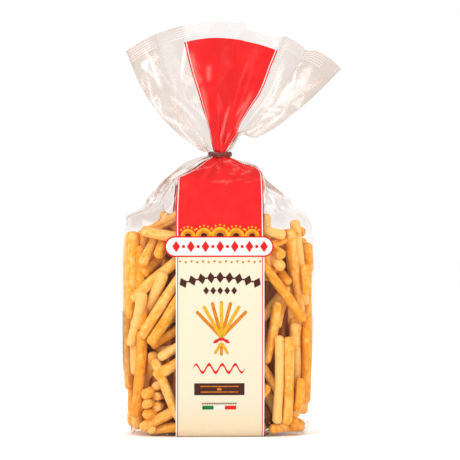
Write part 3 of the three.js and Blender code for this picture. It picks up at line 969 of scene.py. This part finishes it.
def sticks_around(fixed, rng):
    """More breadsticks behind the film all round, laid in turn where they have room, from the film inwards.
    One that has room to spare is moved up to its neighbour."""
    laid = list(fixed)
    for depth, tries, lengths in ROUNDS:
        for _ in range(tries):
            turn = rng.uniform(0.15, 0.85) * rng.choice([-1, 1]) * HALF_ROUND
            height = rng.uniform(-8, 150)
            height = height if height > 9 else rng.uniform(4.8, 7)
            flow = 55 * sin(turn / 32 + height / 31) * cos(height / 43 - turn / 75)
            lean = 90 + rng.uniform(-6, 6) if height < 12 else flow + rng.uniform(-16, 16)
            dive = rng.uniform(-4, 10)
            length = STICK_LENGTH * rng.uniform(*lengths)
            least, best = math.inf, None
            for step in (0, 1, -1):
                spare = least - AROUND_ROOM if best else 0
                if step and not 0.3 < spare < 3 * STICK_RADIUS:
                    break
                at = behind_film(turn + step * spare, height, clearance(0) + depth)
                start, end = lay_stick(at, lean, dive, length)
                room = room_beside(start, end, laid)
                fits = max(start[2], end[2]) < OTHER_FILL and np.linalg.norm(end - start) > 0.8 * length
                if fits and AROUND_ROOM < room < least:
                    least, best = room, [start, end]
            if best:
                laid.append(best)
    return laid[len(fixed):]


def heap_sticks(fixed, rng):
    """Breadsticks that lie across the top of the heap."""
    laid = list(fixed)
    for _ in range(HEAP_TRIES):
        height = rng.uniform(*HEAP_HEIGHTS)
        width, depth, _ = section_at(height)
        middle = np.array([rng.uniform(-0.75, 0.75) * width, rng.uniform(-0.6, 0.6) * depth, height])
        turn = rng.uniform(0, pi)
        along = np.array([cos(turn), sin(turn), rng.uniform(-0.25, 0.25)])
        length = STICK_LENGTH * rng.uniform(0.75, 1.05)
        start, end = [into_bag(middle + along * length * share, clearance(0)) for share in (-0.5, 0.5)]
        long_enough = np.linalg.norm(end - start) > 0.7 * STICK_LENGTH
        if long_enough and room_beside(start, end, laid) > TOP_ROOM:
            laid.append([start, end])
    return laid[len(fixed):]


def stick_mesh(start, end, around, rows, rng):
    """A rolled breadstick: blunt round ends, a slight bend, an uneven girth, and on many a split along it.
    Gives its points, faces and flat places, and the tone and the browning of each point, with painted shade in
    the split."""
    radius = STICK_RADIUS * rng.uniform(0.9, 1.1)
    length = np.linalg.norm(end - start)
    axis = (end - start) / length
    side = np.cross(axis, (0.31, 0.93, 0.17))
    side /= np.linalg.norm(side)
    other = np.cross(axis, side)
    cap = 0.85 * radius
    rise = np.linspace(0.12, 1, 5)[:-1] * pi / 2
    tip = cap * (1 - np.cos(rise))
    tip_swell = np.sin(rise) ** 0.7
    along = np.concatenate([tip, np.linspace(cap, length - cap, rows), (length - tip)[::-1]])
    swell = np.concatenate([tip_swell, np.ones(rows), tip_swell[::-1]])
    turn = np.arange(around) / around * TURN
    t = along[:, None]
    phase = rng.uniform(0, 6, 6)
    girth = 1 + 0.04 * np.sin(t / 12 + phase[0]) + 0.025 * np.sin(t / 5.3 + phase[1] + turn)
    girth = girth + 0.06 * np.cos(2 * turn + phase[2] + t / 60) + 0.035 * np.sin(3 * turn + t / 9 + phase[3])
    girth = girth + 0.018 * np.sin(6 * turn + 2 * np.sin(t / 8 + phase[1]))
    split = rng.uniform(0.16, 0.3) * (rng.random() < 0.55)
    opening = np.abs((turn - phase[4] - 0.2 * np.sin(t / 20) + pi) % TURN - pi)
    groove = split * np.exp(-(opening / 0.3) ** 2) * (0.6 + 0.4 * np.sin(t / 14 + phase[5]))
    reach = radius * swell[:, None] * girth * (1 - groove)
    half_turn = t / length * pi
    bend = rng.uniform(-1.1, 1.1) * np.sin(half_turn) + rng.uniform(-0.5, 0.5) * np.sin(2 * half_turn)
    sag = rng.uniform(-0.7, 0.7) * np.sin(half_turn)
    points = (start + axis * t[..., None]
              + side * (reach * np.cos(turn) + bend)[..., None]
              + other * (reach * np.sin(turn) + sag)[..., None])
    girth_place = np.arange(around + 1) / around * TURN * radius
    flat = joined(girth_place, t) / 10 + rng.uniform(0, 50, 2)
    at_end = np.exp(-np.minimum(t, length - t) / (1.6 * radius))
    tone = rng.uniform(0.0, 0.6)
    underside = 0.5 - 0.5 * np.sin(turn - phase[2])
    # Browning at the ends and on one side, and painted shade darkening the split
    browning_and_split_shade = 0.22 * at_end + 0.2 * underside * rng.random() + 1.6 * groove

    def closed(grid):
        return np.concatenate([grid, grid[:, :1]], axis=1)

    points, browning_and_split_shade = closed(points).reshape(-1, 3), closed(browning_and_split_shade).ravel()
    return points, tube_faces(len(along), around), flat.reshape(-1, 2), np.full(len(points), tone), browning_and_split_shade


def make_sticks(name, sticks, around, rows, material, rng):
    parts = [stick_mesh(start, end, around, rows, rng) for start, end in sticks]
    faces, total = [], 0
    for points, cells, *_ in parts:
        faces += [cell + total for cell in cells]
        total += len(points)
    points, flat, tones, browning_and_split_shade = [np.concatenate([part[i] for part in parts]) for i in (0, 2, 3, 4)]
    make_piece(name, points, faces, material, flat, {"tone": tones, "browning_and_split_shade": browning_and_split_shade})


def make_core(material):
    """A mass inside the heap, well behind the outer breadsticks, painted dark as in shade."""
    def rounded(wave, square):
        return np.sign(wave) * np.abs(wave) ** (2 / square)

    turn = np.arange(CORE_AROUND + 1) / CORE_AROUND * TURN
    rows = []
    for height, away in CORE:
        width, depth, square = section_at(height)
        x = (width - away) * rounded(np.sin(turn), square)
        y = -(depth - away) * rounded(np.cos(turn), square)
        rows.append(joined(x, y, height))
    make_piece("heap_core", rows, tube_faces(len(rows), CORE_AROUND), material)


def make_crumbs(material, rng):
    """Crumbs and broken bits at the bottom of the bag, just behind the film."""
    sides = ((0, 1, 3, 2), (4, 6, 7, 5), (0, 4, 5, 1), (2, 3, 7, 6), (0, 2, 6, 4), (1, 5, 7, 3))
    cube = np.array([(x, y, z) for x in (-1, 1) for y in (-1, 1) for z in (-1, 1)], float)
    points, faces, tones = [], [], []
    for i in range(CRUMBS):
        turn = rng.uniform(0.16, 0.84) * rng.choice([-1, 1])
        size = rng.uniform(0.35, 1)
        height = size + 1 + 9 * rng.random() ** 2
        middle = behind_film(turn * HALF_ROUND, height, 0.8 + size + rng.uniform(0, 3))
        corners = cube * 0.6 * size * rng.uniform(0.5, 1, (8, 3))
        spin = np.linalg.qr(rng.normal(size=(3, 3)))[0]
        points.append(middle + corners @ spin.T)
        outward = 1 if np.linalg.det(spin) > 0 else -1
        faces += [np.array(side[::outward]) + 8 * i for side in sides]
        tones.append(np.full(8, rng.uniform(0, 0.9)))
    points = np.concatenate(points)
    floats = {"tone": np.concatenate(tones), "browning_and_split_shade": np.zeros(len(points))}
    make_piece("crumbs", points, faces, material, points[:, :2] / 10, floats)


# The print's shapes, each an outline on the flat band. x runs across the band from its middle.

def moved(outline, x, z, turn=0.0):
    c, s = cos(radians(turn)), sin(radians(turn))
    return outline @ np.array([[c, s], [-s, c]]) + (x, z)


def box(x, z, width, height, radius, steps=7, turn=0.0):
    """A rectangle with round corners."""
    points = []
    for corner, (right, up) in enumerate(((1, 1), (-1, 1), (-1, -1), (1, -1))):
        centre = np.array([right * (width / 2 - radius), up * (height / 2 - radius)])
        for step in range(steps):
            angle = (corner + step / (steps - 1)) * pi / 2
            points.append(centre + radius * np.array([cos(angle), sin(angle)]))
    return moved(np.array(points), x, z, turn)


def dot(x, z, size):
    return box(x, z, size, size, size / 2 - 0.05, 4)


def spoke(x, z, length, width, reach, angle):
    """A bar with round ends that lies on a ray from a point, at an angle from upright."""
    turn = radians(angle)
    at = x + reach * sin(turn), z + reach * cos(turn)
    return box(*at, length, width, width / 2 - 0.05, turn=90 - angle)


def leaf(x, z, length, width, turn=0.0, steps=8):
    """A pointed oval."""
    t = np.linspace(-1, 1, steps)[:-1]
    half = joined(-t * length / 2, -(1 - t ** 2) * width / 2)
    return moved(np.concatenate([half, -half]), x, z, turn)


def half_disc(x, z, radius):
    turn = np.linspace(0, pi, 13)
    return moved(radius * joined(np.cos(turn), np.sin(turn)), x, z)


def lozenge(x, z, width, height, turn=0.0):
    corners = np.array([(width / 2, 0), (0, height / 2), (-width / 2, 0), (0, -height / 2)])
    return moved(corners, x, z, turn)


def wavy_rule(x, z, length, height, thickness, waves):
    along = np.linspace(-length / 2, length / 2, 49)
    up = height / 2 * np.sin(along / length * waves * TURN)
    half = thickness / 2 * np.sqrt(np.maximum(1 - (2 * along / length) ** 6, 0.05))
    edges = [joined(along, up + side * half) for side in (-1, 1)]
    return moved(np.concatenate([edges[0], edges[1][::-1]]), x, z)


def is_inside(point, outline):
    x, z = point
    inside = False
    for (ax, az), (bx, bz) in zip(outline, np.roll(outline, -1, axis=0)):
        if (az > z) != (bz > z) and x < (bx - ax) * (z - az) / (bz - az) + ax:
            inside = not inside
    return inside


def patch(outline, pitch=2.0):
    """The points and triangles that fill an outline, with inner points close enough to follow the film."""
    low, high = outline.min(0), outline.max(0)
    xs, zs = [np.arange(low[i] + pitch / 2, high[i], pitch) for i in (0, 1)]
    dense = []
    for a, b in zip(outline, np.roll(outline, -1, axis=0)):
        pieces = max(1, math.ceil(np.linalg.norm(b - a) / pitch))
        dense += [a + (b - a) * k / pieces for k in range(pieces)]
    inner = [(x, z) for x in xs for z in zs if is_inside((x, z), outline)]
    points = [Vector(p) for p in dense + inner]
    edges = [(i, (i + 1) % len(dense)) for i in range(len(dense))]
    found, _, faces, *_ = delaunay_2d_cdt(points, edges, [], 1, 1e-5)
    return np.array([tuple(p) for p in found]), faces


def make_ink(name, film, outlines, material, lift, middle=0.0):
    """All patches of one ink as one piece, just off the film. middle is the s of the band's middle."""
    points, faces, total = [], [], 0
    for outline in outlines:
        flat, cells = patch(outline)
        points.append(flat)
        faces += [[i + total for i in cell] for cell in cells]
        total += len(flat)
    flat = np.concatenate(points)
    s = flat[:, 0] + middle
    s = np.where(s > HALF_ROUND, s - 2 * HALF_ROUND, s)
    make_piece(name, film.at(s, flat[:, 1], lift), faces, material, flat / FLAT_UNIT)


# Each ink and the colour of its uneven places
INKS = {
    "white": ((216, 214, 212), (210, 208, 204)),
    "red": ((206, 24, 24), (196, 18, 20)),
    "gold": ((202, 122, 20), (190, 96, 14)),
    "yellow": ((208, 166, 30), (204, 142, 20)),
    "brown": ((66, 26, 16), (54, 20, 12)),
    "green": ((12, 108, 48), (8, 98, 42)),
}
FIRST, SECOND, THIRD = 0.12, 0.2, 0.28  # how far inks laid over one another lie off the film
PLAQUE = (-0.7, 150.2)
SCALLOP_PITCH, SCALLOP_BASE = 12.6, 158.2
ARCH_PITCH, ARCH_TOP = 7.25, 126
SHEAF = (1, 79)
BOX = (-0.6, 38.2)
BAR_HEIGHT = 23.7
SIDE_PRINT = -82  # its right edge
BACK_PANEL = 17  # its middle


def make_print(film):
    inks = {name: ink_material(name, *colours) for name, colours in INKS.items()}
    scallops = []
    dots = []
    for i in range(-2, 3):
        x, smaller = SCALLOP_PITCH * i, 0.8 * abs(i)
        scallops.append([half_disc(x, SCALLOP_BASE, size * (7.4 - smaller)) for size in (1, 0.72, 0.4)])
        dots += [dot(x + (9 - smaller) * sin(turn), SCALLOP_BASE + (9 - smaller) * cos(turn), 1.5)
                 for turn in (-0.8, -0.4, 0, 0.4, 0.8)]
    whole, inside, hearts = zip(*scallops)

    def arch(x):
        return ARCH_TOP - 5.2 * (x / 32) ** 2

    lozenges = [lozenge(x, arch(x), 6.4, 8.8, -x * 0.9) for x in ARCH_PITCH * np.arange(-4, 5)]
    lozenges += [dot(x, arch(x), 1.5) for x in 3.6 + ARCH_PITCH * np.arange(-4, 4)]
    lozenges += [lozenge(5.5 * i, 115.6, 4.6, 6.2) for i in range(-2, 3)]
    marks = [lozenge(-34.5 + 11.5 * i, PLAQUE[1], 6.2, 9) for i in range(7)]
    marks += [dot(-28.75 + 11.5 * i, PLAQUE[1], 2.6) for i in range(6)]
    ears = [spoke(*SHEAF, 30, 2.6, 13.5, angle) for angle in (-44, -30, -15, 0, 15, 30, 44)]
    feet = [spoke(SHEAF[0], SHEAF[1] - 4, 10, 2.2, -5.5, angle) for angle in (-30, 0, 30)]
    bow = [box(1, 77.4, 5.4, 2.2, 1), leaf(5, 76, 6, 2.6, -30), leaf(-3, 76, 6, 2.6, 30)]
    rules = [box(BOX[0], BOX[1] + k, 30, 0.7, 0.3, 3) for k in (-2.2, 2.2)] + [leaf(*BOX, 4.4, 2.4, steps=5)]
    rng = np.random.default_rng(SEED)
    side_rules = [box(SIDE_PRINT - 9.4 * column - width / 2, 98 - 1.75 * i, width, 0.8, 0.3, 2)
                  for column in range(3) for i, width in enumerate(rng.uniform(4.5, 8.2, 27))]
    for name, shapes, ink, lift in (
        ("plaque_rim", [box(*PLAQUE, 86, 16.4, 8)], "red", FIRST),
        ("plaque", [box(*PLAQUE, 83.6, 14, 6.9)], "white", SECOND),
        ("plaque_marks", marks, "red", THIRD),
        ("scallops", list(whole) + dots, "yellow", FIRST),
        ("scallops_inside", inside, "gold", SECOND),
        ("scallops_hearts", hearts, "brown", THIRD),
        ("beads", [dot(-31.5 + 4.5 * i, 138.6 - 0.6 * (i % 2), 1.8) for i in range(15)], "gold", FIRST),
        ("lozenges", lozenges, "brown", FIRST),
        ("sheaf", ears[::2] + feet[1:2], "gold", FIRST),
        ("sheaf_shade", ears[1::2] + feet[::2], "yellow", 0.18),
        ("bow", bow, "red", 0.26),
        ("wavy_rule", [wavy_rule(-1, 54.5, 41, 6.5, 2.4, 4)], "red", FIRST),
        ("brown_box", [box(*BOX, 39.5, 9.4, 0.4)], "brown", FIRST),
        ("box_rules", rules, "gold", SECOND),
        ("bar_green", [box(-9.6, BAR_HEIGHT, 8.8, 3, 0.2)], "green", FIRST),
        ("bar_white", [box(-0.7, BAR_HEIGHT, 8.8, 3, 0.2)], "white", FIRST),
        ("bar_red", [box(8.2, BAR_HEIGHT, 8.8, 3, 0.2)], "red", FIRST),
        ("bar_ticks", [box(-0.7 + 1.85 * i, 26.9, 1.1, 1.4, 0.2, 2) for i in range(-7, 8)], "brown", FIRST),
        ("side_rules", side_rules, "brown", FIRST),
    ):
        make_ink(name, film, shapes, inks[ink], lift)
    make_ink("back_panel", film, [box(BACK_PANEL, 96, 28, 62, 2.5)], inks["white"], FIRST, HALF_ROUND)
    rules = [box(BACK_PANEL, 118 - 7 * i, 20, 1, 0.4, 3) for i in range(6)]
    make_ink("back_rules", film, rules, inks["brown"], SECOND, HALF_ROUND)


# The tie: its section, as the distance out and the share of the half height, and the two twisted ends behind
RIBBON = [(0, -1), (0.45, -1), (0.55, -0.9), (0.55, -0.4), (0.8, -0.25), (1.1, -0.12), (1.1, 0.12),
          (0.8, 0.25), (0.55, 0.4), (0.55, 0.9), (0.45, 1), (0, 1)]
RIBBON_HALF = 1.8
RING_STEPS = 96
RING_GAP = (1.25, 0.95)  # between the gathered film and the ribbon, across and in depth
TAIL_LENGTH, TAIL_DROP, TAIL_TURNS = 13, 2.5, 2.5
TAIL_WIDE, TAIL_THIN = 1.3, 0.5
TAIL_STEPS, TAIL_AROUND = 60, 10
STRAND_GAP = 0.75


def make_tie(material):
    """A ribbon round the neck with a wire along its middle, its two ends twisted together behind."""
    width, depth, _ = section_at(NECK_HEIGHT)
    ring = []
    for i in range(RING_STEPS + 1):
        turn = -i / RING_STEPS * TURN
        dip = 0.35 * sin(2 * turn + 0.7) + 0.2 * sin(5 * turn)
        c, s = cos(turn), sin(turn)
        ring.append([(NECK_SHIFT + (width + RING_GAP[0] + out) * c, (depth + RING_GAP[1] + out) * s,
                      NECK_HEIGHT + RIBBON_HALF * up + dip) for out, up in RIBBON + RIBBON[:1]])
    points = [np.reshape(ring, (-1, 3))]
    faces = [*grid_faces(RING_STEPS + 1, len(RIBBON) + 1)]
    for strand in (0, pi):
        tail = []
        for along in np.arange(TAIL_STEPS + 1) / TAIL_STEPS:
            twist = along * TAIL_TURNS * TURN + strand
            c, s = cos(twist), sin(twist)
            centre = np.array([NECK_SHIFT + STRAND_GAP * c, depth + 1.4 + along * TAIL_LENGTH,
                               NECK_HEIGHT + STRAND_GAP * s - TAIL_DROP * along ** 2])
            wide, thin = np.array([-s, 0, c]), np.array([c, 0, s])
            tail.append([centre + wide * TAIL_WIDE * cos(a) + thin * TAIL_THIN * sin(a)
                         for a in np.arange(TAIL_AROUND + 1) / TAIL_AROUND * TURN])
        total = sum(map(len, points))
        points.append(np.reshape(tail, (-1, 3)))
        faces += [face[::-1] + total for face in tube_faces(TAIL_STEPS + 1, TAIL_AROUND)]
    made = make_piece("twist_tie", np.concatenate(points), faces, material)
    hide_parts("tie")


# The studio

def aim(thing, back):
    """Turns a camera or a light so that it looks against a direction."""
    thing.rotation_mode = "QUATERNION"
    thing.rotation_quaternion = back.to_track_quat("Z", "Y")


def make_studio():
    world = bpy.data.worlds.new("studio")
    bpy.context.scene.world = world
    world.use_nodes = True
    background = world.node_tree.nodes["Background"]
    background.inputs["Color"].default_value = (1, 1, 1, 1)
    background.inputs["Strength"].default_value = 1.0
    mesh = bpy.data.meshes.new("floor")
    corners = [(x, y, 0) for x, y in ((-6, -6), (6, -6), (6, 6), (-6, 6))]
    mesh.from_pydata(corners, [], [(0, 1, 2, 3)])
    floor = put("floor", mesh)
    pale = Recipe("pale_floor")
    mesh.materials.append(pale.ending(pale.node("BsdfDiffuse", {"Color": (0.995, 0.995, 0.995, 1)})[0]))
    for name, place, size, power in LIGHTS:
        light = bpy.data.lights.new(name, "AREA")
        light.size = size
        light.energy = power
        lamp = put(name, light)
        lamp.location = place
        aim(lamp, Vector(place) - Vector(LIT_POINT))


def make_camera():
    camera = put("camera", bpy.data.cameras.new("camera"))
    camera.data.lens = LENS
    camera.data.sensor_width = SENSOR
    camera.data.clip_start = 0.05
    camera.data.clip_end = 30
    azimuth, elevation = radians(VIEW_AZIMUTH), radians(VIEW_ELEVATION)
    back = Vector((sin(azimuth) * cos(elevation), -cos(azimuth) * cos(elevation),
                   sin(elevation)))
    camera.location = Vector(VIEW_CENTRE) * MM + back * (VIEW_WIDTH * MM * LENS / SENSOR)
    aim(camera, back)
    bpy.context.scene.camera = camera


def main():
    rng = np.random.default_rng(SEED)
    scene = bpy.context.scene
    scene.view_settings.view_transform = "Standard"
    scene.cycles.transparent_max_bounces = 32
    make_camera()
    make_studio()
    film = Film()
    clear = film_material()
    printed = print_material()
    make_film(film, clear, printed)
    make_base(film, clear)
    make_fin(film, printed)
    make_print(film)
    bread = bread_material()
    front = front_sticks()
    others = sticks_around(front, rng)
    heap = heap_sticks(front + others, rng)
    make_sticks("breadsticks_front", front, 22, 26, bread, rng)
    make_sticks("breadsticks_around", others, 12, 9, bread, rng)
    make_sticks("breadsticks_top", heap, 12, 9, bread, rng)
    make_core(core_material())
    make_crumbs(bread, rng)
    make_tie(tie_material())


main()
